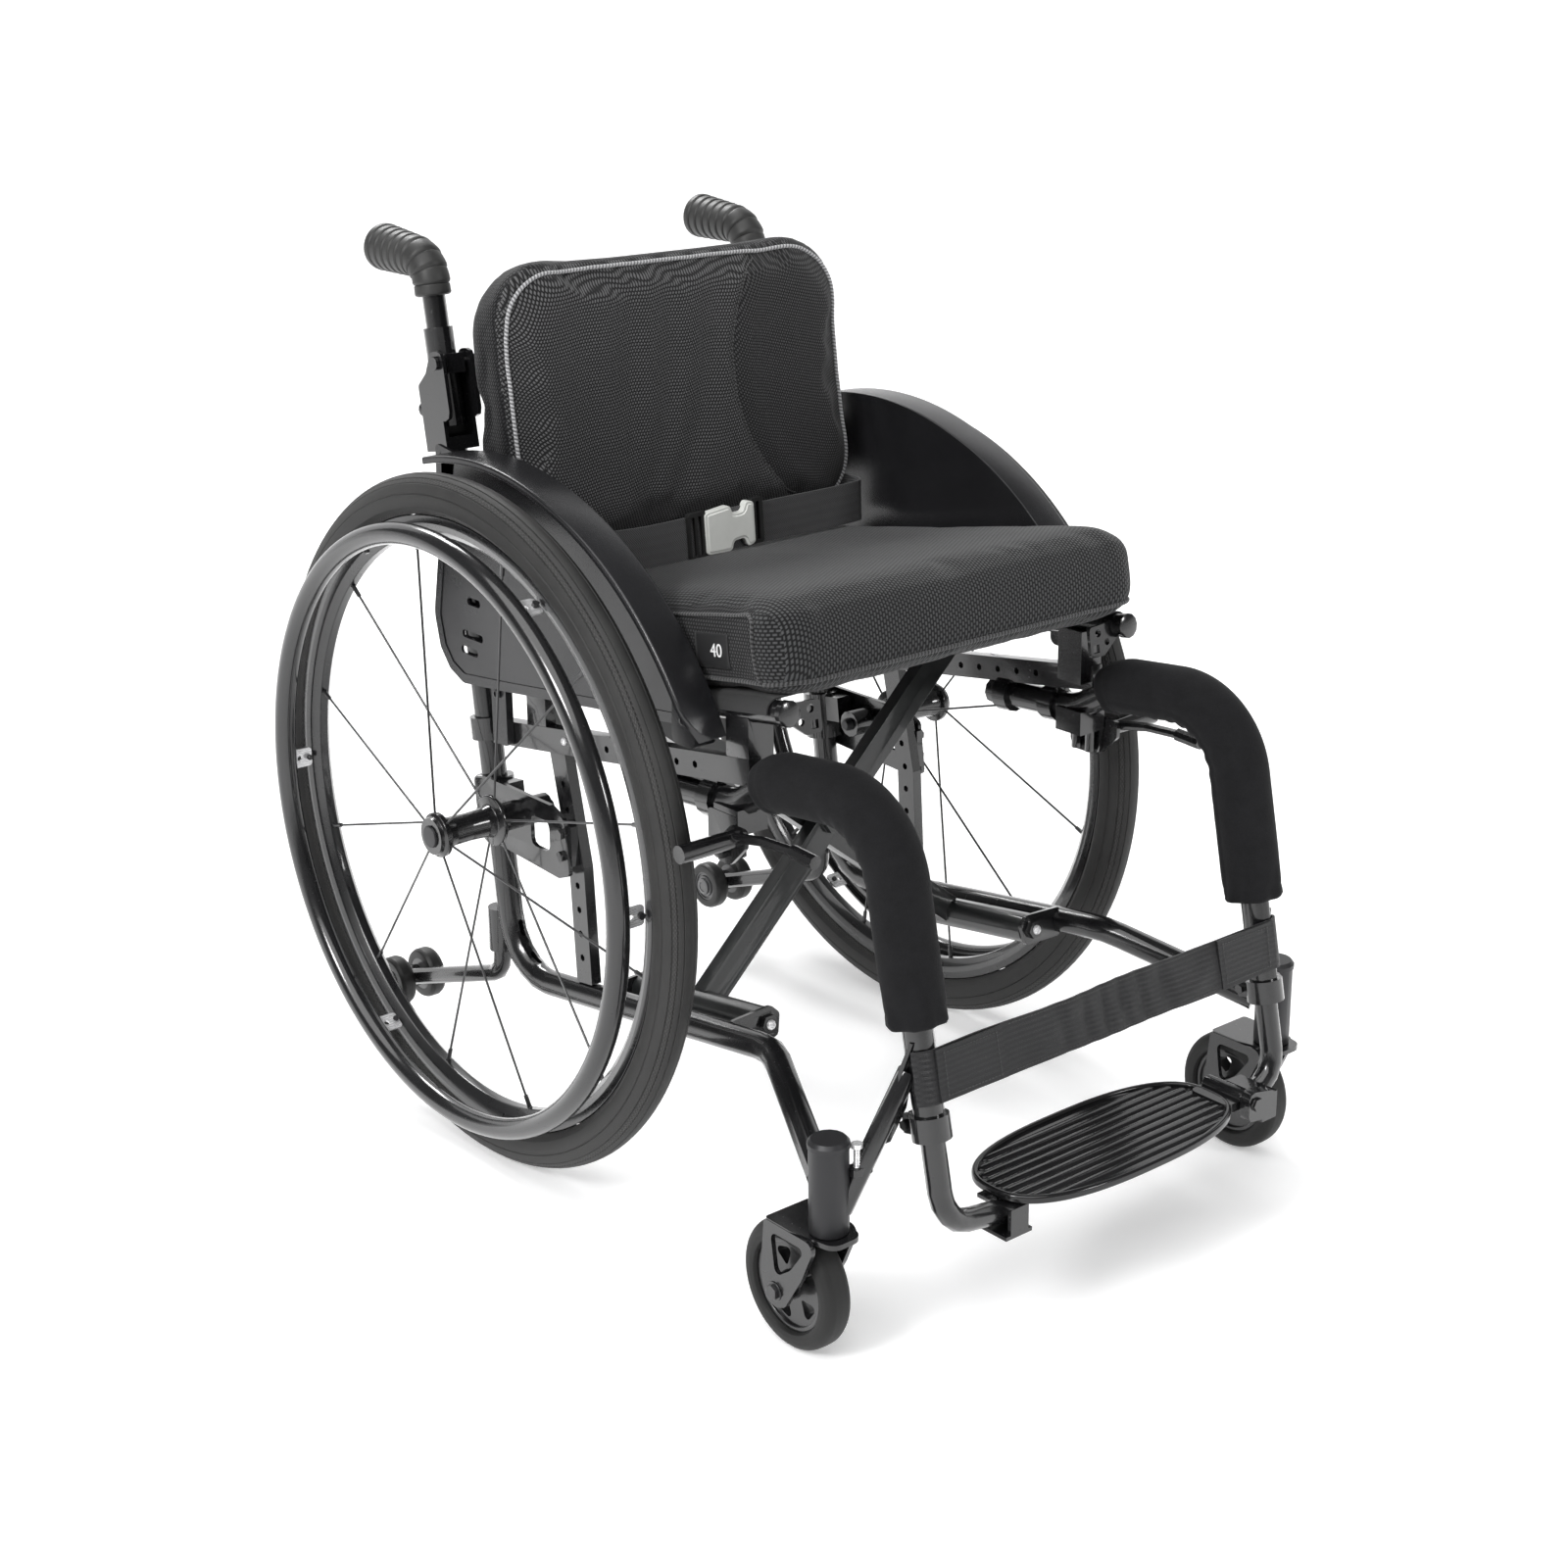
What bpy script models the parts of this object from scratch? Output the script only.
"""Folding wheelchair with a cross-brace frame, 24 inch push-rim wheels and swivel casters.

Metres, +Z up. The chair faces -Y and +X is the occupant's left. Shapes are written with Y = 0 at the
rear axle, and one empty shifts them all so that the chair's box is centred on the origin.
"""

import math

import bmesh
import bpy
from mathutils import Matrix, Vector

# Driving dimensions
AXLE_Y = 0.1315
SEAT_PITCH = math.radians(8.5)
GAP = 0.0003

WHEEL_RADIUS = 0.305
WHEEL_X = 0.2505
TYRE_WIDTH = 0.034
RIM_OUTER = 0.2706
RIM_INNER = 0.2520
PUSH_RIM_RADIUS = 0.2590
PUSH_RIM_TUBE = 0.0095
PUSH_RIM_X = 0.2865
SPOKES = 12
RIM_TABS = 6
RING_STEPS = 36

SIDE_X = 0.190
FRAME_TUBE = 0.0115
FRONT_TUBE = 0.0120
FOOT_TUBE = 0.0095
SLEEVE_RADIUS = 0.0248

PIVOT_X = 0.1532
PIVOT_Y = -0.180
PIVOT_Z = 0.170
RAIL_X = 0.1866
RAIL_RADIUS = 0.0100
RAIL_Z_AT_PIVOT = 0.4502

CASTER_X = 0.2540
CASTER_Y = -0.4725
CASTER_RADIUS = 0.0534
CASTER_TRAIL = 0.0380
HOUSING_RADIUS = 0.0155

CANE_X = 0.1760
SEAT_HALF_WIDTH = 0.1975
FRONT_RISE = 0.14
REAR_DROP = 0.04

# The lower rail and the upright of the rear tube meet at one corner
CORNER = (0.0360, 0.1380)
RAIL_SLOPE = 0.1459
UPRIGHT_SLOPE = 0.1240

# The leg runs from the knee corner down to the collar
KNEE = (-0.4655, 0.4335)
COLLAR = (-0.5130, 0.2020)
LEG_SLOPE = (KNEE[0] - COLLAR[0]) / (KNEE[1] - COLLAR[1])


def clear_scene():
    for obj in list(bpy.data.objects):
        bpy.data.objects.remove(obj, do_unlink=True)


def finish(name, colour, roughness, metallic=0.0):
    """A Principled material, made once for each name."""
    if name in bpy.data.materials:
        return bpy.data.materials[name]
    made = bpy.data.materials.new(name)
    made.use_nodes = True
    shader = made.node_tree.nodes["Principled BSDF"]
    shader.inputs["Base Color"].default_value = (*colour, 1.0)
    shader.inputs["Roughness"].default_value = roughness
    shader.inputs["Metallic"].default_value = metallic
    return made


# Mesh helpers
def shape(bm):
    """A bmesh as a loose object with its normals facing out."""
    bmesh.ops.remove_doubles(bm, verts=bm.verts, dist=1e-6)
    bmesh.ops.recalc_face_normals(bm, faces=bm.faces)
    mesh = bpy.data.meshes.new("shape")
    bm.to_mesh(mesh)
    bm.free()
    obj = bpy.data.objects.new("shape", mesh)
    bpy.context.scene.collection.objects.link(obj)
    return obj


def combine(base, operation, others):
    """The base with the other shapes joined to it or cut from it."""
    for other in others:
        step = base.modifiers.new("step", "BOOLEAN")
        step.operation = operation
        step.solver = "EXACT"
        step.object = other
    graph = bpy.context.evaluated_depsgraph_get()
    mesh = bpy.data.meshes.new_from_object(base.evaluated_get(graph))
    base.modifiers.clear()
    base.data = mesh
    for other in others:
        bpy.data.objects.remove(other, do_unlink=True)
    return base


def fuse(base, *others):
    return combine(base, "UNION", others)


def cut(base, *others):
    return combine(base, "DIFFERENCE", others)


def moved(obj, matrix):
    obj.data.transform(matrix)
    return obj


def each(value, count):
    """One value for each of count places, from a single value or a list."""
    return list(value) if isinstance(value, (list, tuple)) else [value] * count


def rounded_path(points, radii, steps=4):
    """The points with each inner corner turned into an arc of its own radius and steps."""
    points = [Vector(p) for p in points]
    corners = len(points) - 2
    path = [points[0]]
    trios = zip(points, points[1:], points[2:], each(radii, corners), each(steps, corners))
    for before, corner, after, radius, arc_steps in trios:
        back = (before - corner).normalized()
        ahead = (after - corner).normalized()
        half = back.angle(ahead) / 2
        reach = radius / math.tan(half)
        centre = corner + (back + ahead).normalized() * (radius / math.sin(half))
        first = corner + back * reach - centre
        last = corner + ahead * reach - centre
        for step in range(arc_steps + 1):
            turn = first.slerp(last, step / arc_steps)
            path.append(centre + turn.normalized() * radius)
    path.append(points[-1])
    return path


def tube(path, radius, sides=10, radii=None):
    """A round bar along a path, closed at both ends, as a bevelled curve made into a mesh."""
    curve = bpy.data.curves.new("tube", "CURVE")
    curve.dimensions = "3D"
    curve.bevel_depth = 1.0
    curve.bevel_resolution = (sides - 4) // 2
    curve.use_fill_caps = True
    spline = curve.splines.new("POLY")
    spline.points.add(len(path) - 1)
    for index, (point, place) in enumerate(zip(spline.points, path)):
        point.co = (*place, 1.0)
        point.radius = radii[index] if radii else radius
    obj = bpy.data.objects.new("tube", curve)
    bpy.context.scene.collection.objects.link(obj)
    graph = bpy.context.evaluated_depsgraph_get()
    bm = bmesh.new()
    bm.from_mesh(obj.evaluated_get(graph).to_mesh())
    bpy.data.objects.remove(obj, do_unlink=True)
    return shape(bm)


def prism(outline, axis, low, high):
    """A flat outline drawn out along an axis: (y, z) for X, (x, z) for Y and (x, y) for Z."""
    place = {
        "X": lambda a, b, c: (c, a, b),
        "Y": lambda a, b, c: (a, c, b),
        "Z": lambda a, b, c: (a, b, c),
    }[axis]
    bm = bmesh.new()
    base = bm.faces.new([bm.verts.new(place(a, b, low)) for a, b in outline])
    drawn = bmesh.ops.extrude_face_region(bm, geom=[base])
    lifted = [item for item in drawn["geom"] if isinstance(item, bmesh.types.BMVert)]
    bmesh.ops.translate(bm, verts=lifted, vec=Vector(place(0, 0, high - low)))
    return shape(bm)


def box(x0, x1, y0, y1, z0, z1):
    return prism([(y0, z0), (y1, z0), (y1, z1), (y0, z1)], "X", x0, x1)


def rounded_outline(corners, radii, steps=2):
    """A closed outline whose corners are arcs."""
    count = len(corners)
    outline = []
    for index, radius in enumerate(each(radii, count)):
        trio = [corners[index - 1], corners[index], corners[(index + 1) % count]]
        if radius == 0:
            outline.append(corners[index])
            continue
        arc = rounded_path([(a, b, 0) for a, b in trio], radius, steps)[1:-1]
        outline += [(p.x, p.y) for p in arc]
    return outline


AXES = {
    "X": Matrix(((0, 0, 1, 0), (0, 1, 0, 0), (-1, 0, 0, 0), (0, 0, 0, 1))),
    "Y": Matrix(((1, 0, 0, 0), (0, 0, 1, 0), (0, -1, 0, 0), (0, 0, 0, 1))),
    "Z": Matrix.Identity(4),
}


def turned(profile, axis, centre, steps, closed=True):
    """A profile of (radius, height) points spun round an axis through centre."""
    bm = bmesh.new()
    verts = [bm.verts.new((r, 0, h)) for r, h in profile]
    for a, b in zip(verts, verts[1:]):
        bm.edges.new((a, b))
    if closed:
        bm.edges.new((verts[-1], verts[0]))
    bmesh.ops.spin(
        bm,
        geom=bm.verts[:] + bm.edges[:],
        cent=(0, 0, 0),
        axis=(0, 0, 1),
        angle=math.tau,
        steps=steps,
        use_merge=True,
    )
    obj = shape(bm)
    return moved(obj, Matrix.Translation(centre) @ AXES[axis])


def disc(radius, axis, centre, low, high, steps=12):
    """A plain cylinder whose ends lie at low and high along its axis."""
    profile = [(0, low), (radius, low), (radius, high), (0, high)]
    return turned(profile, axis, centre, steps, closed=False)


def rod(start, end, radius, sides=10):
    """A plain cylinder from one point to another."""
    return tube([Vector(start), Vector(end)], radius, sides)


def ring(outer, inner, axis, centre, low, high, steps=14):
    profile = [(inner, low), (outer, low), (outer, high), (inner, high)]
    return turned(profile, axis, centre, steps)


# Places that several parts share
def lower_rail_z(y):
    return CORNER[1] + (CORNER[0] - y) * RAIL_SLOPE


def upright_y(z):
    return CORNER[0] + (z - CORNER[1]) * UPRIGHT_SLOPE


def leg_y(z):
    return COLLAR[0] + (z - COLLAR[1]) * LEG_SLOPE


def bar_bottom_z(y):
    """The seat bar's lower face, which climbs towards the front."""
    return 0.3510 + (0.0800 - y) * math.tan(SEAT_PITCH)


def rail_z(y):
    """The seat rail's centre line."""
    return RAIL_Z_AT_PIVOT + (PIVOT_Y - y) * math.tan(SEAT_PITCH)


SEAT_FRAME = Matrix.Translation((0, PIVOT_Y, PIVOT_Z)) @ Matrix.Rotation(-SEAT_PITCH, 4, "X")
RAIL_RISE = (RAIL_Z_AT_PIVOT - PIVOT_Z) * math.cos(SEAT_PITCH)
BAR_ANGLE = math.atan2(RAIL_RISE, PIVOT_X + RAIL_X)


def tilted(obj):
    """From the scissor's own frame, whose Y axis lies along its pivots, to the chair's."""
    return moved(obj, SEAT_FRAME)


# Finished parts
PARTS = {}


def keep(name, obj, material, origin=(0, 0, 0), smooth=35):
    """Names a finished part and puts its origin at a point, for instance on its joint's axis."""
    obj.name = name
    obj.data.name = name
    obj.data.materials.clear()
    obj.data.materials.append(material)
    obj.data.transform(Matrix.Translation(-Vector(origin)))
    obj.location = origin
    obj.parent = CHAIR
    obj.data.shade_smooth()
    obj.data.set_sharp_from_angle(angle=math.radians(smooth))
    PARTS[name] = obj
    return obj


def keep_pair(name, obj, material, origin=(0, 0, 0), smooth=35):
    """Keeps the left part as built and its mirror image as the right one."""
    bm = bmesh.new()
    bm.from_mesh(obj.data)
    bmesh.ops.scale(bm, vec=(-1, 1, 1), verts=bm.verts)
    bmesh.ops.reverse_faces(bm, faces=bm.faces)
    mirror = shape(bm)
    x, y, z = origin
    keep("left_" + name, obj, material, origin, smooth)
    keep("right_" + name, mirror, material, (-x, y, z), smooth)


# Frame tubes
def rear_tube_path():
    return rounded_path(
        [
            (CASTER_X - 0.006, CASTER_Y + 0.016, 0.1500),
            (SIDE_X, -0.3300, lower_rail_z(-0.3300)),
            (SIDE_X, *CORNER),
            (SIDE_X, upright_y(0.5000), 0.5000),
            (CANE_X, 0.1165, 0.5850),
            (CANE_X, 0.1222, 0.6150),
        ],
        [0.050, 0.055, 0.120, 0.040],
        [2, 5, 2, 2],
    )


def bend_slot(degrees):
    """A slot in the inner side of the rear bend, at an angle round the bend's centre."""
    bend = Vector((SIDE_X - 0.0020, -0.0116, 0.2005))
    corners = [(-0.0025, -0.008), (0.0025, -0.008), (0.0025, 0.008), (-0.0025, 0.008)]
    slot = prism(rounded_outline(corners, 0.0024), "Z", -0.0500, -0.0400)
    turn = Matrix.Rotation(math.radians(90 + degrees), 4, "X")
    return moved(slot, Matrix.Translation(bend) @ turn)


def rear_tube(material):
    """Lower rail, rear bend and upright in one tube, with its slots and the anti-tip socket."""
    body = tube(rear_tube_path(), FRAME_TUBE)
    socket = disc(0.0115, "Z", (SIDE_X, ANTITIP_Y, 0), 0.1550, 0.1960)
    body = fuse(body, socket)
    well = disc(0.0085, "Z", (SIDE_X, ANTITIP_Y, 0), 0.1500, 0.1880)
    housing = disc(HOUSING_RADIUS + GAP, "Z", (CASTER_X, CASTER_Y, 0), 0.100, 0.200, 24)
    body = fuse(cut(body, well, housing, bend_slot(-23), bend_slot(-64)), handle_bracket())
    keep_pair("rear_tube", body, material)


def front_tube_path(start_y=-0.1850):
    return rounded_path(
        [
            (SIDE_X, start_y, 0.3800),
            (SIDE_X, -0.2900, 0.3885),
            (SIDE_X, -0.3450, 0.4210),
            (SIDE_X, *KNEE),
            (SIDE_X, leg_y(0.1850), 0.1850),
        ],
        [0.050, 0.050, 0.065],
        [2, 2, 6],
    )


def front_tube(material):
    """Upper front rail and leg in one tube, with the split clamp collar for the foot tube."""
    body = tube(front_tube_path(), FRONT_TUBE)
    lean = Matrix.Translation((SIDE_X, leg_y(0.1850), 0.1850)) @ Matrix.Rotation(
        -math.atan(LEG_SLOPE), 4, "X"
    )
    collar = moved(disc(0.0155, "Z", (0, 0, 0), 0.0, 0.0190, 16), lean)
    ear = moved(box(-0.006, 0.006, 0.012, 0.025, 0.002, 0.017), lean)
    bolt = moved(disc(0.0042, "X", (0, 0.0205, 0.0095), -0.010, 0.010, 6), lean)
    body = fuse(body, collar, ear, bolt)
    bore = moved(disc(FOOT_TUBE + 2 * GAP, "Z", (0, 0, 0), -0.010, 0.150, 16), lean)
    split = moved(box(-0.0008, 0.0008, 0.008, 0.030, -0.001, 0.0185), lean)
    keep_pair("front_tube", cut(body, bore, split), material)


def caster_mount(material):
    """Swivel housing with its cap, the diagonal strut up to the leg, and the gusset."""
    radius = HOUSING_RADIUS
    profile = [
        (0, 0.1130),
        (radius - 0.0005, 0.1130),
        (radius, 0.1140),
        (radius, 0.1830),
        (radius + 0.0010, 0.1830),
        (radius + 0.0010, 0.1870),
        (radius - 0.0015, 0.1900),
        (0, 0.1900),
    ]
    housing = turned(profile, "Z", (CASTER_X, CASTER_Y, 0), 16, closed=False)
    foot = Vector((0.2456, -0.4780, 0.1297))
    head = Vector((0.1999, -0.5004, 0.2380))
    strut = rod(foot, head, 0.0080)
    fin = [(0.197, 0.264), (0.202, 0.262), (0.215, 0.215), (0.222, 0.178), (0.208, 0.178), (0.197, 0.205)]
    gusset = prism(fin, "Y", -0.0020, 0.0020)
    lean = (head.y - foot.y) / (head.z - foot.z)
    shear = Matrix.Identity(4)
    shear[1][2] = lean
    moved(gusset, Matrix.Translation((0, foot.y - lean * foot.z, 0)) @ shear)
    body = fuse(housing, strut, gusset)
    leg = tube(front_tube_path(), FRONT_TUBE + GAP)
    stem_well = disc(0.0064, "Z", (CASTER_X, CASTER_Y, 0), 0.1000, 0.1750)
    keep_pair("caster_mount", cut(body, leg, stem_well), material)


def adapter_post(material):
    """Perforated flat post between the seat bar and the lower rail."""
    half = 0.011
    bend_z = 0.2750
    top, waist, foot = -0.0490, -0.0710, -0.0770
    low = FRAME_TUBE / math.cos(math.atan(RAIL_SLOPE)) + GAP
    outline = [
        (top - half, bar_bottom_z(top - half) - GAP),
        (waist - half, bend_z),
        (foot - half, lower_rail_z(foot - half) + low),
        (foot + half, lower_rail_z(foot + half) + low),
        (waist + half, bend_z),
        (top + half, bar_bottom_z(top + half) - GAP),
    ]
    body = prism(outline, "X", SIDE_X - 0.005, SIDE_X + 0.005)
    holes = []
    for index in range(8):
        z = 0.190 + 0.022 * index
        end, span = (foot, 0.120) if z < bend_z else (top, 0.098)
        y = waist + (end - waist) * abs(z - bend_z) / span
        holes.append(disc(0.0032, "X", (SIDE_X, y, z), -0.01, 0.01, 6))
    keep_pair("adapter_post", cut(body, *holes), material)


def axle_plate(material):
    """Plate between upright and post, with its clamps and the receiver for the quick-release axle."""
    outline = rounded_outline(
        [
            (0.068, 0.322),
            (0.050, 0.326),
            (-0.050, 0.326),
            (-0.070, 0.318),
            (-0.076, 0.268),
            (-0.060, 0.262),
            (0.050, 0.268),
            (0.064, 0.278),
        ],
        0.005,
    )
    plate = prism(outline, "X", SIDE_X + 0.0118, SIDE_X + 0.0158)
    opening = [(-0.048, 0.310), (-0.020, 0.310), (-0.020, 0.282), (-0.048, 0.282)]
    plate = cut(plate, prism(rounded_outline(opening, 0.006), "X", 0.19, 0.22))
    lean = Matrix.Translation((SIDE_X, upright_y(0.3000), 0.3000)) @ Matrix.Rotation(
        -math.atan(UPRIGHT_SLOPE), 4, "X"
    )
    clamp = moved(disc(0.0175, "Z", (0, 0, 0), -0.022, 0.022), lean)
    lug = moved(box(-0.008, 0.008, -0.034, -0.015, -0.004, 0.020), lean)
    spacer = box(SIDE_X + 0.0053, SIDE_X + 0.0125, -0.076, -0.060, 0.276, 0.312)
    receiver = disc(0.0125, "X", (0, 0, WHEEL_RADIUS), 0.1760, 0.2215)
    bolts = [disc(0.005, "X", (0, -0.066, z), 0.204, 0.2095, 6) for z in (0.284, 0.304)]
    body = fuse(plate, clamp, lug, spacer, receiver, *bolts)
    bore = disc(0.0064, "X", (0, 0, WHEEL_RADIUS), 0.170, 0.230)
    upright = tube(rear_tube_path(), FRAME_TUBE + GAP)
    keep_pair("axle_plate", cut(body, bore, upright), material)


def rail_bar(material):
    """Holed seat bar with the rear collar, the front tube's clamps and the two seat-rail cradles."""
    front, rear, deep = -0.3120, 0.0480, 0.0220
    outline = [
        (rear, bar_bottom_z(rear)),
        (rear, bar_bottom_z(rear) + deep),
        (front, bar_bottom_z(front) + deep),
        (front, bar_bottom_z(front)),
    ]
    bar = prism(outline, "X", SIDE_X - 0.006, SIDE_X + 0.006)
    holes = []
    for index in range(8):
        y = -0.075 - 0.024 * index
        holes.append(disc(0.0032, "X", (SIDE_X, y, bar_bottom_z(y) + 0.011), -0.02, 0.02, 6))
    bar = cut(bar, *holes)
    upright = Matrix.Translation((SIDE_X, upright_y(0.3660), 0.3660)) @ Matrix.Rotation(
        -math.atan(UPRIGHT_SLOPE), 4, "X"
    )
    collar = moved(disc(0.0160, "Z", (0, 0, 0), -0.010, 0.010), upright)
    pieces = [collar]
    for y in (-0.2050, -0.2620):
        centre = Vector((SIDE_X, y, 0.3800 + (-0.1850 - y) * 0.081))
        at = Matrix.Translation(centre) @ Matrix.Rotation(-0.081, 4, "X")
        pieces.append(moved(disc(0.0160, "Y", (0, 0, 0), -0.008, 0.008), at))
        top = bar_bottom_z(y) + 0.004
        pieces.append(box(SIDE_X - 0.005, SIDE_X + 0.005, y - 0.008, y + 0.008, 0.3935, top))
    for y in (-0.2970, -0.0200):
        base, top = bar_bottom_z(y) + 0.010, rail_z(y) - 0.0035
        pieces.append(box(SIDE_X - 0.0195, SIDE_X + 0.0055, y - 0.014, y + 0.014, base, top))
    body = fuse(bar, *pieces)
    ends = [(RAIL_X, -0.4000, rail_z(-0.4000)), (RAIL_X, 0.1000, rail_z(0.1000))]
    groove = rod(*ends, RAIL_RADIUS + GAP, 12)
    rear_hole = tube(rear_tube_path(), FRAME_TUBE + GAP)
    front_hole = tube(front_tube_path(), FRONT_TUBE + GAP)
    keep_pair("rail_bar", cut(body, groove, rear_hole, front_hole), material)


def leg_sleeve(material):
    """Foam sleeve round the knee bend."""
    path = front_tube_path()
    inside = [p for p in path if p.y < -0.3340 and p.z > 0.2800]
    start = Vector((SIDE_X, -0.3290, 0.4116))
    end = Vector((SIDE_X, leg_y(0.2720), 0.2720))
    route = [start, *inside, end]
    reach = [0.86] + [1.0] * (len(route) - 2) + [0.97]
    body = tube(route, SLEEVE_RADIUS, 12, [SLEEVE_RADIUS * r for r in reach])
    core = tube(path, FRONT_TUBE + GAP)
    keep_pair("leg_sleeve", cut(body, core), material)


# Rear wheels
def tyre(material):
    half = TYRE_WIDTH / 2
    profile = [
        (RIM_OUTER + GAP, -0.0105),
        (0.2810, -half),
        (0.2960, -half * 0.78),
        (WHEEL_RADIUS, -half * 0.26),
        (WHEEL_RADIUS, half * 0.26),
        (0.2960, half * 0.78),
        (0.2810, half),
        (RIM_OUTER + GAP, 0.0105),
    ]
    body = turned(profile, "X", (WHEEL_X, 0, WHEEL_RADIUS), RING_STEPS)
    keep_pair("tyre", body, material, (WHEEL_X, 0, WHEEL_RADIUS))


def wheel_rim(material):
    profile = [
        (RIM_OUTER, -0.0110),
        (0.2570, -0.0095),
        (RIM_INNER, -0.0040),
        (RIM_INNER, 0.0040),
        (0.2570, 0.0095),
        (RIM_OUTER, 0.0110),
    ]
    body = turned(profile, "X", (WHEEL_X, 0, WHEEL_RADIUS), RING_STEPS)
    keep_pair("wheel_rim", body, material, (WHEEL_X, 0, WHEEL_RADIUS))


def wheel_hub(material):
    """Hub barrel with two flanges and the spokes, which leave the flanges by turns."""
    inner_flange, outer_flange = 0.2320, 0.2860
    profile = [
        (0.0064, 0.2220),
        (0.0145, 0.2220),
        (0.0145, 0.2300),
        (0.0225, 0.2300),
        (0.0225, 0.2340),
        (0.0145, 0.2345),
        (0.0145, 0.2830),
        (0.0195, 0.2835),
        (0.0195, 0.2885),
        (0.0160, 0.2935),
        (0.0064, 0.2935),
    ]
    body = turned(profile, "X", (0, 0, WHEEL_RADIUS), 12)
    spokes = []
    for index in range(SPOKES):
        angle = math.radians(14.5) + math.tau * index / SPOKES
        out = Vector((0, math.cos(angle), math.sin(angle)))
        flange, reach = (inner_flange, 0.0180) if index % 2 else (outer_flange, 0.0150)
        start = Vector((flange, 0, WHEEL_RADIUS)) + out * reach
        end = Vector((WHEEL_X, 0, WHEEL_RADIUS)) + out * (RIM_INNER - 0.0016)
        spokes.append(rod(start, end, 0.0013, 4))
    body = fuse(body, *spokes)
    keep_pair("wheel_hub", body, material, (WHEEL_X, 0, WHEEL_RADIUS))


def push_rim(material):
    """Push rim with the tabs that bolt it to the wheel rim."""
    profile = []
    for step in range(6):
        angle = math.tau * step / 6
        out, across = math.cos(angle), math.sin(angle)
        profile.append((PUSH_RIM_RADIUS + PUSH_RIM_TUBE * out, PUSH_RIM_TUBE * across))
    body = turned(profile, "X", (PUSH_RIM_X, 0, WHEEL_RADIUS), RING_STEPS)
    tabs = []
    for index in range(RIM_TABS):
        tab = box(WHEEL_X + 0.0118, PUSH_RIM_X - 0.004, -0.0110, 0.0110, 0.2570, 0.2610)
        spin = Matrix.Rotation(math.tau * (index + 0.5) / RIM_TABS, 4, "X")
        tabs.append(moved(tab, Matrix.Translation((0, 0, WHEEL_RADIUS)) @ spin))
    body = fuse(body, *tabs)
    keep_pair("push_rim", body, material, (WHEEL_X, 0, WHEEL_RADIUS))


def quick_axle(material):
    """Quick-release axle pin with its head outside the hub."""
    profile = [
        (0, 0.1700),
        (0.0045, 0.1700),
        (0.0060, 0.1730),
        (0.0060, 0.2938),
        (0.0100, 0.2938),
        (0.0095, 0.2956),
        (0, 0.2960),
    ]
    body = turned(profile, "X", (0, 0, WHEEL_RADIUS), 12, closed=False)
    keep_pair("quick_axle", body, material)


# Casters
def caster_fork(material):
    """Fork with its stem, pierced legs and the axle bolt."""
    z_axle, y_axle = CASTER_RADIUS, CASTER_Y + CASTER_TRAIL
    half = [(0.014, -0.022), (0.0225, 0.020), (0.0225, 0.050)]
    outline = [(-x, y) for x, y in half[::-1]] + half
    flat = rounded_outline(outline, [0.003, 0.006, 0.010, 0.010, 0.006, 0.003])
    crown = prism(flat, "Z", 0.1083, 0.1125)
    moved(crown, Matrix.Translation((CASTER_X, CASTER_Y, 0)))
    pieces = [disc(0.0060, "Z", (CASTER_X, CASTER_Y, 0), 0.1120, 0.1720)]
    top = 0.1120
    leg = rounded_outline(
        [
            (CASTER_Y + 0.050, top),
            (CASTER_Y - 0.010, top),
            (y_axle - 0.013, z_axle - 0.004),
            (y_axle - 0.004, z_axle - 0.013),
            (y_axle + 0.010, z_axle - 0.012),
            (y_axle + 0.016, z_axle + 0.006),
        ],
        [0.003, 0.004, 0.006, 0.006, 0.006, 0.010],
        2,
    )
    window = rounded_outline(
        [
            (CASTER_Y + 0.040, top - 0.008),
            (CASTER_Y + 0.004, top - 0.008),
            (y_axle - 0.001, z_axle + 0.017),
        ],
        0.003,
    )
    for side in (-1, 1):
        low, high = sorted((CASTER_X + side * 0.0185, CASTER_X + side * 0.0225))
        blade = cut(prism(leg, "X", low, high), prism(window, "X", low - 0.01, high + 0.01))
        pieces.append(blade)
    pieces.append(disc(0.0040, "X", (CASTER_X, y_axle, z_axle), -0.0270, 0.0270, 12))
    for low in (-0.0270, 0.0222):
        pieces.append(disc(0.0068, "X", (CASTER_X, y_axle, z_axle), low, low + 0.0048, 6))
    keep_pair("caster_fork", fuse(crown, *pieces), material, (CASTER_X, CASTER_Y, CASTER_RADIUS))


def caster_wheel(material):
    """Solid tyre on a five-hole wheel."""
    r = CASTER_RADIUS
    half = [
        (0.0043, 0.0160),
        (0.0125, 0.0085),
        (0.0375, 0.0085),
        (0.0385, 0.0125),
        (r - 0.0040, 0.0125),
        (r, 0.0060),
    ]
    profile = [(radius, -height) for radius, height in half] + half[::-1]
    centre = (CASTER_X, CASTER_Y + CASTER_TRAIL, r)
    body = turned(profile, "X", centre, 18)
    holes = []
    for index in range(5):
        hole = disc(0.0085, "X", (0, 0, 0.0255), -0.02, 0.02, 6)
        spin = Matrix.Rotation(math.tau * index / 5, 4, "X")
        holes.append(moved(hole, Matrix.Translation(centre) @ spin))
    keep_pair("caster_wheel", cut(body, *holes), material, centre)


# Anti-tippers
ANTITIP_Y = 0.0595
ANTITIP_WHEEL = (0.2220, 0.0740)


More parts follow.
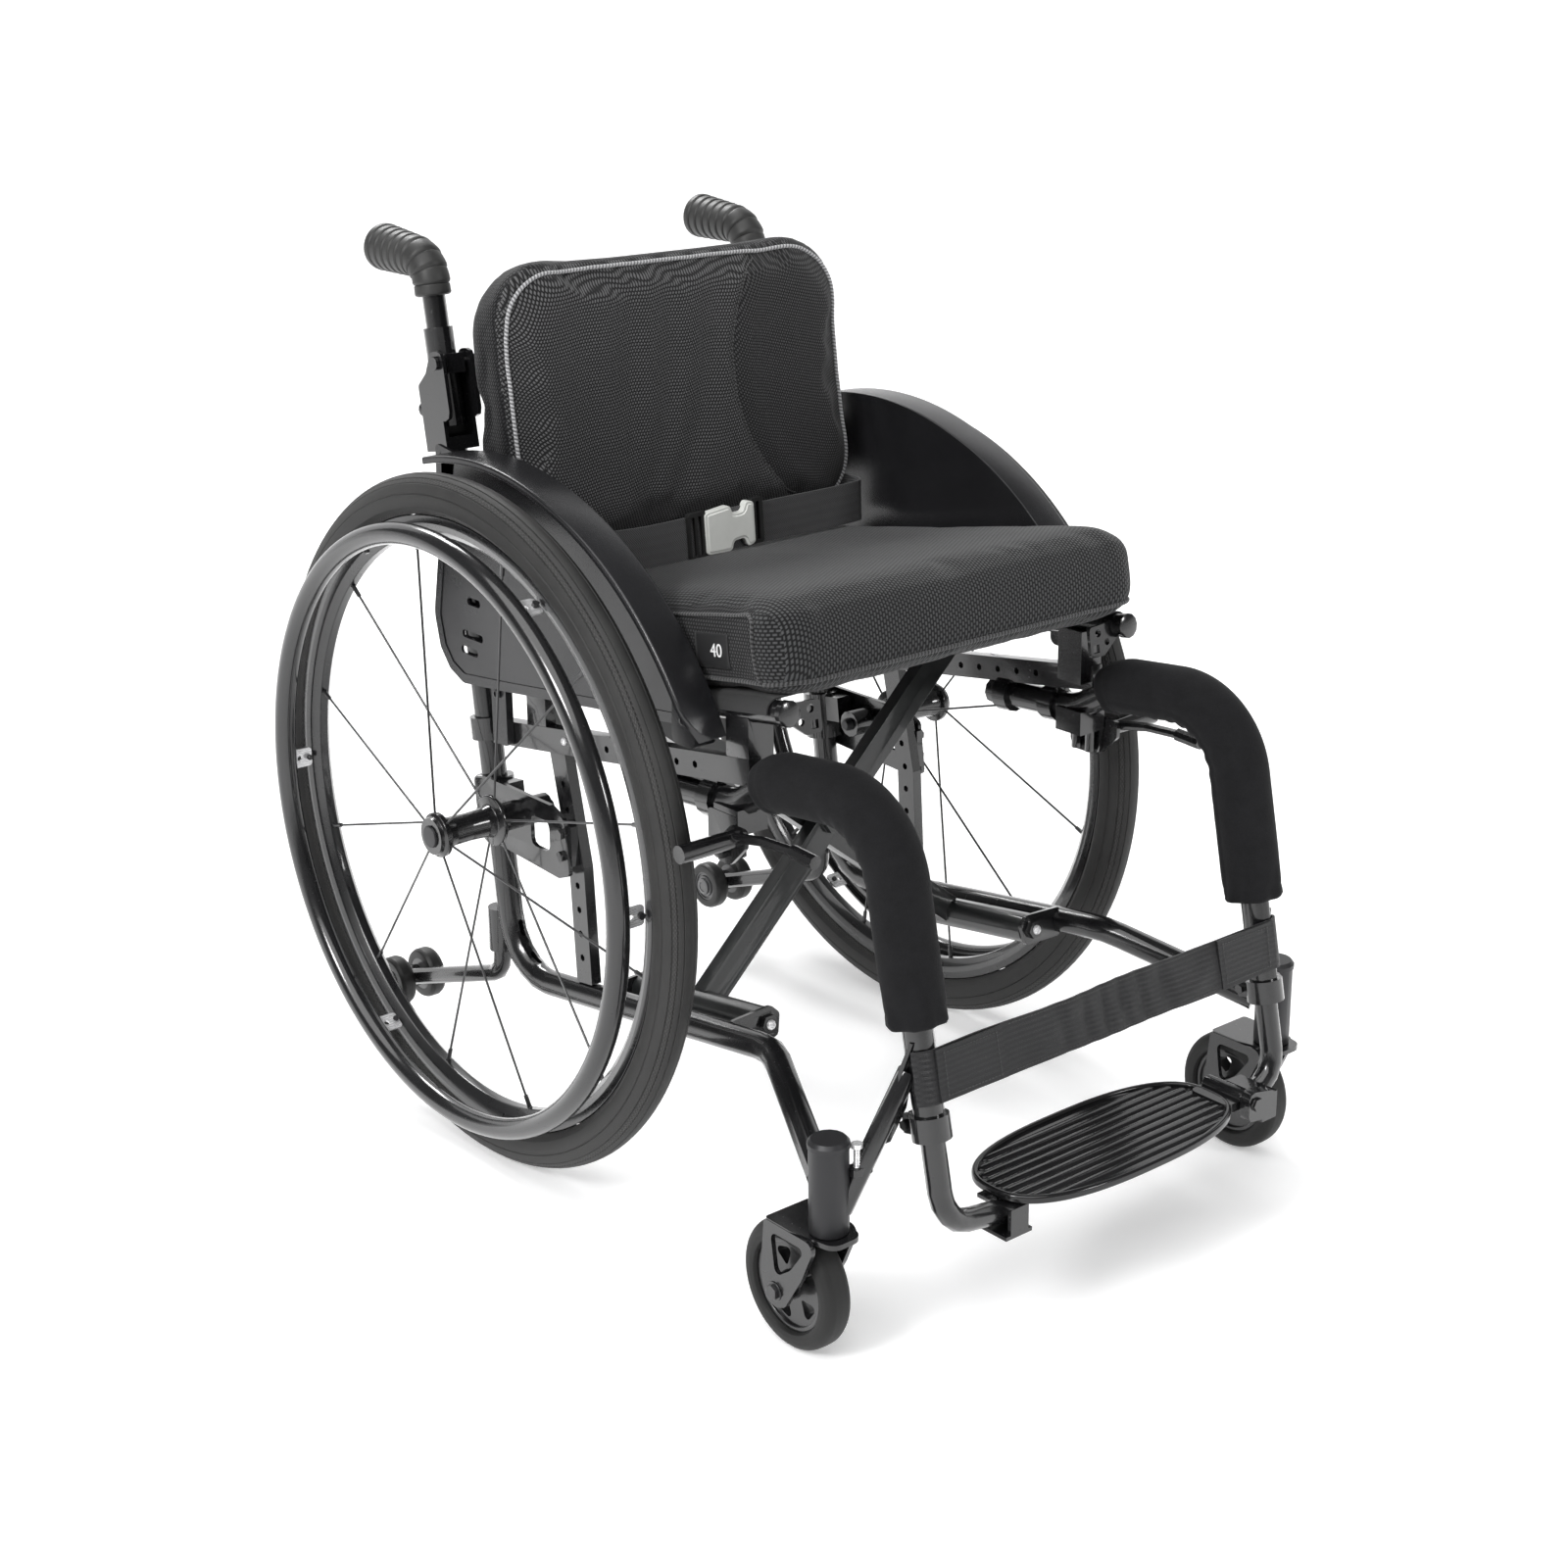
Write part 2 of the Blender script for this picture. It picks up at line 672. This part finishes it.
def antitip_tube(material):
    """Bent tube that swivels in the frame's socket and ends in an eye."""
    path = rounded_path(
        [
            (SIDE_X, ANTITIP_Y, 0.1860),
            (SIDE_X, ANTITIP_Y, 0.1315),
            (SIDE_X, ANTITIP_WHEEL[0], ANTITIP_WHEEL[1]),
        ],
        0.022,
        3,
    )
    body = tube(path, 0.0080)
    eye = disc(0.0105, "X", (SIDE_X, *ANTITIP_WHEEL), -0.0065, 0.0065)
    body = fuse(body, eye)
    bore = disc(0.0044, "X", (SIDE_X, *ANTITIP_WHEEL), -0.02, 0.02, 12)
    keep_pair("antitip_tube", cut(body, bore), material, (SIDE_X, ANTITIP_Y, 0.1550))


def antitip_wheels(material):
    """Two small wheels on one axle."""
    outer = 0.0240
    half = [
        (0.0040, 0.0085),
        (outer - 0.0025, 0.0085),
        (outer, 0.0120),
        (outer, 0.0210),
        (outer - 0.0025, 0.0245),
        (0.0100, 0.0245),
        (0.0090, 0.0270),
        (0, 0.0270),
    ]
    mirror = [(r, -h) for r, h in reversed(half)]
    body = turned(mirror + half, "X", (SIDE_X, *ANTITIP_WHEEL), 14, closed=False)
    keep_pair("antitip_wheels", body, material, (SIDE_X, *ANTITIP_WHEEL))


# Brakes
BRAKE_PIVOT = (-0.2960, 0.3540)
BRAKE_SHOE = (-0.3105, 0.3700)


def brake_mount(material):
    """Half clamp under the front tube with the plate that carries the brake lever."""
    block = box(SIDE_X - 0.0150, SIDE_X + 0.0150, -0.3080, -0.2780, 0.3690, 0.3900)
    outline = rounded_outline(
        [(-0.271, 0.385), (-0.271, 0.352), (-0.279, 0.345), (-0.305, 0.345), (-0.308, 0.385)],
        [0.004, 0.005, 0.004, 0.008, 0.004],
    )
    low, high = SIDE_X + 0.0115, SIDE_X + 0.0155
    plate = prism(outline, "X", low, high)
    stud = disc(0.0040, "X", (SIDE_X, *BRAKE_PIVOT), 0.0120, 0.0235, 12)
    bolts = [disc(0.0045, "Z", (SIDE_X + 0.006, y, 0), 0.349, 0.372, 8) for y in (-0.284, -0.300)]
    body = fuse(block, plate, stud, *bolts)
    hollow = tube(front_tube_path(), FRONT_TUBE + GAP)
    keep_pair("brake_mount", cut(body, hollow), material)


def brake_lever(material):
    """Brake lever: hand bar forward, cam plate at the pivot, and the shoe bar in front of the tyre."""
    y, z = BRAKE_PIVOT
    shoe_y, shoe_z = BRAKE_SHOE
    low, high = SIDE_X + 0.0160, SIDE_X + 0.0200
    outline = rounded_outline(
        [
            (y + 0.008, z - 0.008),
            (y + 0.009, z + 0.008),
            (shoe_y + 0.006, shoe_z + 0.009),
            (shoe_y - 0.012, shoe_z + 0.009),
            (shoe_y - 0.012, shoe_z - 0.006),
            (y - 0.008, z - 0.008),
        ],
        0.004,
    )
    plate = prism(outline, "X", low, high)
    shoe = disc(0.0075, "X", (0, shoe_y, shoe_z), low, WHEEL_X + 0.0140, 12)
    line = high + 0.0040
    elbow = (line, -0.3500, 0.3795)
    hand = tube([(line, shoe_y, shoe_z + 0.002), elbow, (line, -0.3930, 0.3820)], 0.0042, 8)
    tip = rod((line, -0.3860, 0.3816), (line, -0.4120, 0.3800), 0.0058, 8)
    body = fuse(plate, shoe, hand, tip)
    bore = disc(0.0043, "X", (0, y, z), low - 0.01, high + 0.01, 12)
    keep_pair("brake_lever", cut(body, bore), material, (low, y, z))


# Scissor
def pivot_mount(material):
    """Two brackets on the lower rail and the pivot bolt between them."""
    front, rear = -0.0960, 0.0770
    pieces = []
    for y in (front, rear):
        outline = rounded_outline(
            [
                (PIVOT_X - 0.014, 0.006),
                (PIVOT_X - 0.006, 0.014),
                (SIDE_X - 0.002, 0.012),
                (SIDE_X + 0.004, -0.006),
                (SIDE_X - 0.006, -0.014),
                (PIVOT_X - 0.010, -0.013),
            ],
            0.004,
        )
        pieces.append(tilted(prism(outline, "Y", y - 0.002, y + 0.002)))
    bolt = tilted(disc(0.0060, "Y", (PIVOT_X, 0, 0), front - 0.004, rear + 0.004))
    head = tilted(disc(0.0085, "Y", (PIVOT_X, 0, 0), front - 0.007, front - 0.001, 6))
    nut = tilted(disc(0.0085, "Y", (PIVOT_X, 0, 0), rear + 0.001, rear + 0.007, 6))
    body = fuse(bolt, *pieces, head, nut)
    rail = tube(rear_tube_path(), FRAME_TUBE + GAP)
    keep_pair("scissor_pivot", cut(body, rail), material)


def cross_bar(side, material):
    """A bar from one side's lower pivot up to the other side's seat rail, with its pivot tube.

    side is -1 for the bar on the right pivot, which lies in front and carries the centre bolt.
    """
    name = "right_cross_bar" if side < 0 else "left_cross_bar"
    half_deep, half_wide = 0.0075, 0.0122
    offset = 0.0095 * side
    length = (PIVOT_X + RAIL_X) / math.cos(BAR_ANGLE) - 0.006
    near = 0.0080
    outline = [(near, -half_wide), (length, -half_wide), (length, half_wide), (near, half_wide)]
    bar = prism(outline, "Y", offset - half_deep, offset + half_deep)
    turn = Matrix.Rotation(-BAR_ANGLE, 4, "Y")
    flip = Matrix.Identity(4) if side < 0 else Matrix.Scale(-1, 4, (1, 0, 0))
    moved(bar, Matrix.Translation((side * PIVOT_X, 0, 0)) @ flip @ turn)
    if side > 0:
        bar.data.flip_normals()
    pieces = [disc(0.0135, "Y", (side * PIVOT_X, 0, 0), -0.0935, 0.0745, 14)]
    centre = (0, 0, PIVOT_X * math.tan(BAR_ANGLE))
    face = 0.0095 + half_deep
    if side < 0:
        pieces.append(disc(0.0060, "Y", centre, -0.0120, face + 0.0060))
        pieces.append(disc(0.0095, "Y", centre, face + 0.0010, face + 0.0065, 6))
        pieces.append(disc(0.0095, "Y", centre, -face - 0.0060, 0.0010 - face, 6))
    body = fuse(bar, *pieces)
    cuts = [
        disc(0.0064, "Y", (side * PIVOT_X, 0, 0), -0.12, 0.12),
        disc(RAIL_RADIUS + GAP, "Y", (-side * RAIL_X, 0, RAIL_RISE), -0.05, 0.05, 16),
    ]
    if side > 0:
        cuts.append(disc(0.0064, "Y", centre, -0.05, 0.05))
    body = tilted(cut(body, *cuts))
    pivot = Vector((side * PIVOT_X, 0, 0)) if side < 0 else Vector(centre)
    keep(name, body, material, SEAT_FRAME @ pivot)


def seat_rail(material):
    """Round seat rail with end caps and the drilled locator plate at its front."""
    front, rear = -0.3450, 0.0300
    along = Vector((0, math.cos(SEAT_PITCH), -math.sin(SEAT_PITCH)))
    start = Vector((RAIL_X, front, rail_z(front)))
    end = Vector((RAIL_X, rear, rail_z(rear)))
    body = rod(start, end, RAIL_RADIUS, 12)
    cap_path = [start - along * 0.0060, start - along * 0.0050, start]
    plug_path = [end, end + along * 0.0040, end + along * 0.0050]
    cap = tube(cap_path, 1, 12, [0.0085, 0.0108, 0.0108])
    plug = tube(plug_path, 1, 12, [0.0108, 0.0108, 0.0090])
    outline = [(-0.038, 0.004), (-0.004, 0.006), (-0.004, -0.008), (-0.022, -0.022), (-0.038, -0.022)]
    locator = prism(rounded_outline(outline, 0.003), "Y", 0.0, 0.0035)
    at = Matrix.Translation(start + along * 0.004) @ Matrix.Rotation(-SEAT_PITCH, 4, "X")
    body = fuse(body, cap, plug, moved(locator, at))
    holes = [
        moved(disc(0.0035, "Y", (-0.028, 0, -0.002), -0.01, 0.01, 10), at),
        moved(disc(0.0030, "Y", (-0.018, 0, -0.011), -0.01, 0.01, 10), at),
        moved(box(-0.0345, -0.0275, -0.01, 0.01, -0.0185, -0.0115), at),
    ]
    keep_pair("seat_rail", cut(body, *holes), material)


# Foot rest
def foot_tube_path(end_x):
    """The telescopic tube's line, from inside the leg to the end of its run under the footplate."""
    corner = Vector((SIDE_X, leg_y(0.1180), 0.1180))
    far = Vector((0.1050, -0.5200, 0.0985))
    share = (corner.x - end_x) / (corner.x - far.x)
    return rounded_path([(SIDE_X, leg_y(0.3050), 0.3050), corner, corner.lerp(far, share)], 0.032)


FOOT_HINGE = (0.1400, 0.1185)
PLATE_BOTTOM = 0.1130
PLATE_TOP = 0.1195


def foot_tubes(material):
    """Foot tubes that slide in the legs: the left one hinges the footplate, the right one props it."""
    hinge_x, hinge_z = FOOT_HINGE
    left = tube(foot_tube_path(0.1520), FOOT_TUBE)
    clamp = box(0.1482, 0.1660, -0.5530, -0.5130, 0.0990, 0.1230)
    cheek = prism(
        rounded_outline([(0.131, 0.104), (0.164, 0.100), (0.164, 0.124), (0.131, 0.131)], 0.006),
        "Y",
        -0.5530,
        -0.5430,
    )
    pin = disc(0.0035, "Y", (hinge_x, 0, hinge_z), -0.5550, -0.4960)
    nut = disc(0.0060, "Y", (hinge_x, 0, hinge_z), -0.5560, -0.5520, 6)
    left = fuse(left, clamp, cheek, pin, nut)
    keep("left_foot_tube", left, material, (SIDE_X, leg_y(0.2020), 0.2020))
    right = moved(tube(foot_tube_path(0.1050), FOOT_TUBE), Matrix.Scale(-1, 4, (1, 0, 0)))
    right.data.flip_normals()
    base = box(-0.1340, -0.1060, -0.5400, -0.5000, 0.0870, 0.0905)
    wall = box(-0.1290, -0.1100, -0.5400, -0.5365, 0.0880, 0.1120)
    pad = box(-0.1290, -0.1100, -0.5390, -0.5020, 0.1085, 0.1120)
    right = fuse(right, base, wall, pad)
    keep("right_foot_tube", right, material, (-SIDE_X, leg_y(0.2020), 0.2020))


def footplate(material):
    """Oval footplate with a raised lip, ribs and the hinge knuckle."""
    centre_x, centre_y = 0.0035, -0.5110
    half_x, half_y = 0.1285, 0.0570
    fullness = 2.6

    def reach(share):
        """The other half-axis's share at this share of one half-axis."""
        return (1 - abs(share) ** fullness) ** (1 / fullness)

    def oval(grow):
        points = []
        for step in range(40):
            angle = math.tau * step / 40
            c, s = math.cos(angle), math.sin(angle)
            x = (half_x + grow) * math.copysign(abs(c) ** (2 / fullness), c)
            y = (half_y + grow) * math.copysign(abs(s) ** (2 / fullness), s)
            points.append((centre_x + x, centre_y + y))
        return points

    body = prism(oval(0.0), "Z", PLATE_BOTTOM, PLATE_TOP)
    well = prism(oval(-0.0050), "Z", PLATE_TOP - 0.0035, PLATE_TOP + 0.0100)
    body = cut(body, well)
    ribs = []
    for index in range(9):
        y = centre_y - 0.040 + 0.010 * index
        half = half_x * reach((y - centre_y) / half_y) - 0.003
        low, high = PLATE_TOP - 0.0045, PLATE_TOP - 0.0015
        ribs.append(box(centre_x - half, centre_x + half, y - 0.0016, y + 0.0016, low, high))
    body = fuse(body, *ribs)
    hinge_x, hinge_z = FOOT_HINGE
    front, rear = -0.5410, -0.4990
    arm = box(0.1180, hinge_x, front, rear, PLATE_BOTTOM - 0.0020, PLATE_TOP)
    knuckle = disc(0.0075, "Y", (hinge_x, 0, hinge_z), front, rear)
    body = fuse(body, arm, knuckle)
    bore = disc(0.0038, "Y", (hinge_x, 0, hinge_z), -0.60, -0.45)
    keep("footplate", cut(body, bore), material, (hinge_x, -0.5200, hinge_z))


# Side guards
def side_guard(material):
    """Moulded mudguard panel with its fender flange, slots and two mounting bosses."""
    inner = SIDE_X + 0.0120
    thick = 0.0032
    crest, foot = [], []
    for step in range(13):
        angle = math.radians(154.0 - 6.5 * step)
        radius = 0.3165 + 0.0085 * max(0.0, (math.degrees(angle) - 110.0) / 44.0)
        out = Vector((math.cos(angle), math.sin(angle)))
        crest.append(Vector((0, WHEEL_RADIUS)) + out * radius)
        foot.append(Vector((0, WHEEL_RADIUS)) + out * (radius - thick))
    rear_edge = [(0.1030, 0.6180), (0.1070, 0.5200), (0.1190, 0.4620), (0.1120, 0.4320), (0.0980, 0.4150)]
    lower_edge = [(0.0770, 0.4060), (0.0130, 0.4130), (-0.2700, 0.4480)]
    panel = prism([*map(tuple, crest), *rear_edge, *lower_edge], "X", inner, inner + 0.0035)
    flange = prism([*map(tuple, crest), *map(tuple, foot[::-1])], "X", inner + 0.0010, WHEEL_X - 0.0145)
    knob = rounded_outline([(-0.248, 0.488), (-0.275, 0.462), (-0.275, 0.435), (-0.245, 0.435)], 0.006)
    boss = prism(knob, "X", SIDE_X + 0.0090, SIDE_X + 0.0300)
    rear_boss = box(SIDE_X + 0.0063, inner + 0.0020, 0.0140, 0.0360, 0.3620, 0.3990)
    rear_tab = box(inner + 0.0005, inner + 0.0030, 0.0140, 0.0360, 0.3850, 0.4180)
    body = fuse(panel, flange, boss, rear_tab, rear_boss)
    slots = []
    for z, y, half in ((0.4830, 0.056, 0.010), (0.4520, 0.060, 0.016), (0.4370, 0.066, 0.013)):
        low, high = z - 0.0035, z + 0.0035
        corners = [(y - half, low), (y + half, low), (y + half, high), (y - half, high)]
        slots.append(prism(rounded_outline(corners, 0.003), "X", inner - 0.01, inner + 0.01))
    keep_pair("side_guard", cut(body, *slots), material)


# Push handles
CANE_LEAN = math.radians(9.7)


def cane_frame():
    """The cane's own frame: its Z axis runs up the cane from the level of the folding bolt."""
    return Matrix.Translation((CANE_X, 0.1315, 0.6790)) @ Matrix.Rotation(-CANE_LEAN, 4, "X")


def handle_bracket():
    """Open channel, welded to the top of the rear tube, for the folding handle's bolt and lock."""
    frame = cane_frame()
    half = [(0.0130, 0.0150), (0.0130, -0.0140), (0.0165, -0.0140), (0.0165, 0.0190)]
    outline = half + [(-x, y) for x, y in half[::-1]]
    channel = prism(outline, "Z", -0.0760, -0.0300)
    ear = rounded_outline(
        [
            (-0.026, -0.050),
            (0.019, -0.050),
            (0.019, -0.018),
            (0.004, -0.008),
            (-0.008, 0.010),
            (-0.026, 0.010),
        ],
        [0.008, 0, 0.004, 0.006, 0.008, 0.008],
    )
    ears = [prism(ear, "X", low, low + 0.0035) for low in (-0.0165, 0.0130)]
    floor = box(-0.0150, 0.0150, -0.0140, 0.0170, -0.0760, -0.0645)
    body = fuse(channel, *ears, floor)
    hole = disc(0.0032, "Y", (0, 0, -0.0400), -0.05, 0.05, 8)
    bolt_hole = disc(0.0034, "X", (0, -0.0160, 0), -0.03, 0.03, 8)
    return moved(cut(body, hole, bolt_hole), frame)


def handle_socket(material):
    """Sleeve that folds on its bolt and holds the height-adjustable handle tube."""
    frame = cane_frame()
    body = ring(0.0128, 0.0105, "Z", (0, 0, 0), -0.0550, 0.0300)
    lug = box(-0.0090, 0.0090, -0.0210, -0.0112, -0.0100, 0.0070)
    bolt = disc(0.0030, "X", (0, -0.0160, 0), -0.0195, 0.0195, 8)
    heads = [disc(0.0060, "X", (0, -0.0160, 0), low, low + 0.0030) for low in (-0.0200, 0.0170)]
    body = moved(fuse(body, lug, bolt, *heads), frame)
    keep_pair("handle_socket", body, material, frame @ Vector((0, -0.0160, 0)))


def handle_tube(material):
    """Inner handle tube that bends back into the grip."""
    body = tube(handle_path(), 0.0100)
    keep_pair("handle_tube", body, material, cane_frame() @ Vector((0, 0, 0.030)))


def handle_path(longer=0.0):
    """The handle tube's line, made longer at both ends where it is used as a cutter."""
    up = Vector((0, math.sin(CANE_LEAN), math.cos(CANE_LEAN)))
    base = cane_frame() @ Vector((0, 0, 0))
    end = Vector((CANE_X, 0.2130 + longer, 0.7690))
    return rounded_path([base - up * (0.0040 + longer), base + up * 0.0880, end], 0.022)


def grip(material):
    """Moulded grip, wider towards its end, with shallow finger rings."""
    up = Vector((0, math.sin(CANE_LEAN), math.cos(CANE_LEAN)))
    base = cane_frame() @ Vector((0, 0, 0))
    route = rounded_path([base + up * 0.0570, base + up * 0.0880, (CANE_X, 0.2200, 0.7700)], 0.024, 6)
    lengths = [0.0]
    for a, b in zip(route, route[1:]):
        lengths.append(lengths[-1] + (b - a).length)
    total = lengths[-1]
    rings = 13
    path, radii = [], []
    for index in range(rings + 1):
        along = total * index / rings
        step = max(i for i, value in enumerate(lengths[:-1]) if value <= along + 1e-9)
        share = (along - lengths[step]) / (lengths[step + 1] - lengths[step])
        path.append(route[step].lerp(route[step + 1], share))
        wide = 0.0140 + 0.0048 * along / total
        radii.append(wide - (0.0012 if index % 2 else 0.0))
    path.append(route[-1] + (route[-1] - route[-2]).normalized() * 0.004)
    radii.append(0.0120)
    body = tube(path, 1, 10, radii)
    core = tube(handle_path(GAP), 0.0100 + GAP)
    keep_pair("grip", cut(body, core), material)


def lock_knob(material):
    """Spring-plunger knob behind the bracket."""
    frame = cane_frame()
    profile = [
        (0, 0.0135),
        (0.0028, 0.0135),
        (0.0028, 0.0195),
        (0.0070, 0.0195),
        (0.0074, 0.0395),
        (0.0062, 0.0415),
        (0, 0.0420),
    ]
    body = turned(profile, "Y", (0, 0, -0.0400), 12, closed=False)
    body = moved(body, frame)
    keep_pair("lock_knob", body, material, frame @ Vector((0, 0.0195, -0.0400)))


# Soft parts
def pillow(half_x, half_y, corner, levels):
    """A cushion from level outlines: each level gives its height and how far its edge is drawn in."""
    bm = bmesh.new()
    rings = []
    for height, inset in levels:
        a, b = half_x - inset, half_y - inset
        radius = max(corner - inset * 0.4, 0.006)
        outline = rounded_outline([(-a, -b), (a, -b), (a, b), (-a, b)], radius, 5)
        rings.append([bm.verts.new((x, y, height)) for x, y in outline])
    for low, high in zip(rings, rings[1:]):
        bmesh.ops.bridge_loops(bm, edges=ring_edges(bm, low) + ring_edges(bm, high))
    bm.faces.new(rings[0][::-1])
    bm.faces.new(rings[-1])
    return shape(bm)


def ring_edges(bm, verts):
    edges = []
    for a, b in zip(verts, verts[1:] + verts[:1]):
        found = bm.edges.get((a, b))
        edges.append(found or bm.edges.new((a, b)))
    return edges


def seat_cushion(material):
    """Seat cushion with a crown, drawn-in sides and a rolled front edge, thicker at the front."""
    front, rear = -0.3650, 0.0420
    half_length = (rear - front) / math.cos(SEAT_PITCH) / 2
    levels = [
        (0.0, 0.012),
        (0.006, 0.004),
        (0.018, 0.0),
        (0.034, 0.0015),
        (0.048, 0.0),
        (0.057, 0.006),
        (0.063, 0.018),
        (0.0665, 0.045),
        (0.0685, 0.090),
    ]
    body = pillow(SEAT_HALF_WIDTH, half_length, 0.030, levels)
    for vertex in body.data.vertices:
        forward = (half_length - vertex.co.y) / (2 * half_length)
        vertex.co.z *= 1 + FRONT_RISE * forward - REAR_DROP * (1 - forward)
    middle = (front + rear) / 2
    lift = Matrix.Translation((0, middle, rail_z(middle) + 0.0124))
    place = lift @ Matrix.Rotation(-SEAT_PITCH, 4, "X")
    keep("seat_cushion", moved(body, place), material)


def seat_sling(material):
    """Seat fabric from rail to rail, wrapped over the outside of each."""
    steps = 5

    def quarter(radius):
        """A quarter turn round the left rail, from its outer side to its top."""
        turns = [math.radians(90) * step / steps for step in range(steps + 1)]
        return [(RAIL_X + radius * math.cos(turn), radius * math.sin(turn)) for turn in turns]

    over = quarter(RAIL_RADIUS + 0.0018)
    under = quarter(RAIL_RADIUS + 0.0004)
    outline = over + [(-x, z) for x, z in over[::-1]] + [(-x, z) for x, z in under] + under[::-1]
    start, end = -0.3380, 0.0240
    body = prism(outline, "Y", 0.0, (end - start) / math.cos(SEAT_PITCH))
    place = Matrix.Translation((0, start, rail_z(start))) @ Matrix.Rotation(-SEAT_PITCH, 4, "X")
    keep("seat_sling", moved(body, place), material)


def back_cushion(material):
    """Back cushion: a full front face with rounded corners and softer sides behind its piping."""
    half_x, half_z = 0.1900, 0.1255
    levels = [
        (0.0, 0.030),
        (0.010, 0.016),
        (0.030, 0.006),
        (0.052, 0.002),
        (0.066, 0.0),
        (0.074, 0.004),
        (0.080, 0.018),
        (0.083, 0.045),
        (0.0845, 0.080),
    ]
    body = pillow(half_x, half_z, 0.055, levels)
    lean = math.radians(8.0)
    lift = Matrix.Translation((0, 0.0880, 0.6385))
    place = lift @ Matrix.Rotation(math.radians(90) - lean, 4, "X")
    keep("back_cushion", moved(body, place), material)


def calf_strap(material):
    """Calf strap in front of the legs, its ends turned round them."""
    half_height, thick = 0.0215, 0.0022
    radius = FRONT_TUBE + 0.0006
    middle = (leg_y(0.2340), 0.2340)
    outer, inner = [], []
    for step in range(7):
        angle = math.radians(-20 - 70 * step / 6)
        outer.append((SIDE_X + (radius + thick) * math.cos(angle), (radius + thick) * math.sin(angle)))
        inner.append((SIDE_X + radius * math.cos(angle), radius * math.sin(angle)))
    right_outer = [(-x, y) for x, y in reversed(outer)]
    right_inner = [(-x, y) for x, y in inner]
    outline = outer + right_outer + right_inner + list(reversed(inner))
    body = prism(outline, "Z", -half_height, half_height)
    place = Matrix.Translation((0, *middle)) @ Matrix.Rotation(-math.atan(LEG_SLOPE), 4, "X")
    keep("calf_strap", moved(body, place), material)


def lap_belt(material):
    """Lap belt lying in front of the back cushion, with its buckle."""
    thick, height = 0.0024, 0.0380
    bottom = 0.5105
    line = [(0.176, -0.016), (0.05, -0.029), (-0.09, -0.030), (-0.176, -0.020)]
    front = [Vector((x, y, 0)) for x, y in line]
    back = []
    for before, here, after in zip([front[0], *front], front, [*front[1:], front[-1]]):
        along = (after - before).normalized()
        back.append(here + Vector((-along.y, along.x, 0)) * thick)
    body = prism([(p.x, p.y) for p in front + back[::-1]], "Z", bottom, bottom + height)
    low, high = bottom + 0.0015, bottom + 0.0435
    corners = [(-0.034, low), (0.040, low), (0.040, high), (-0.034, high)]
    buckle = prism(rounded_outline(corners, 0.006), "Y", -0.0390, -0.0270)
    keep("lap_belt", fuse(body, buckle), material)


clear_scene()
CHAIR = bpy.data.objects.new("chair", None)
CHAIR.location = (0, AXLE_Y, 0)
bpy.context.scene.collection.objects.link(CHAIR)

gloss_black = finish("gloss_black_frame", (0.012, 0.012, 0.013), 0.25, 0.0)
satin_grey = finish("satin_grey_housing", (0.060, 0.060, 0.064), 0.45, 0.2)
steel = finish("bright_steel", (0.55, 0.55, 0.56), 0.30, 1.0)
tyre_rubber = finish("black_tyre", (0.020, 0.020, 0.020), 0.80, 0.0)
rubber = finish("black_rubber", (0.020, 0.020, 0.020), 0.75, 0.0)
foam = finish("charcoal_foam", (0.028, 0.028, 0.030), 0.90, 0.0)
plastic = finish("black_plastic", (0.018, 0.018, 0.020), 0.45, 0.0)
mesh_cloth = finish("black_mesh_cloth", (0.022, 0.022, 0.026), 0.95, 0.0)
webbing = finish("black_webbing", (0.016, 0.016, 0.017), 0.85, 0.0)

rear_tube(gloss_black)
front_tube(gloss_black)
caster_mount(satin_grey)
adapter_post(gloss_black)
axle_plate(gloss_black)
rail_bar(gloss_black)
leg_sleeve(foam)
tyre(tyre_rubber)
wheel_rim(gloss_black)
wheel_hub(gloss_black)
push_rim(gloss_black)
quick_axle(steel)
caster_fork(gloss_black)
caster_wheel(rubber)
antitip_tube(gloss_black)
antitip_wheels(plastic)
brake_mount(gloss_black)
brake_lever(steel)
pivot_mount(gloss_black)
cross_bar(-1, gloss_black)
cross_bar(1, gloss_black)
seat_rail(gloss_black)
foot_tubes(gloss_black)
footplate(plastic)
side_guard(plastic)
handle_socket(gloss_black)
handle_tube(gloss_black)
grip(rubber)
lock_knob(plastic)
seat_sling(webbing)
seat_cushion(mesh_cloth)
back_cushion(mesh_cloth)
calf_strap(webbing)
lap_belt(webbing)
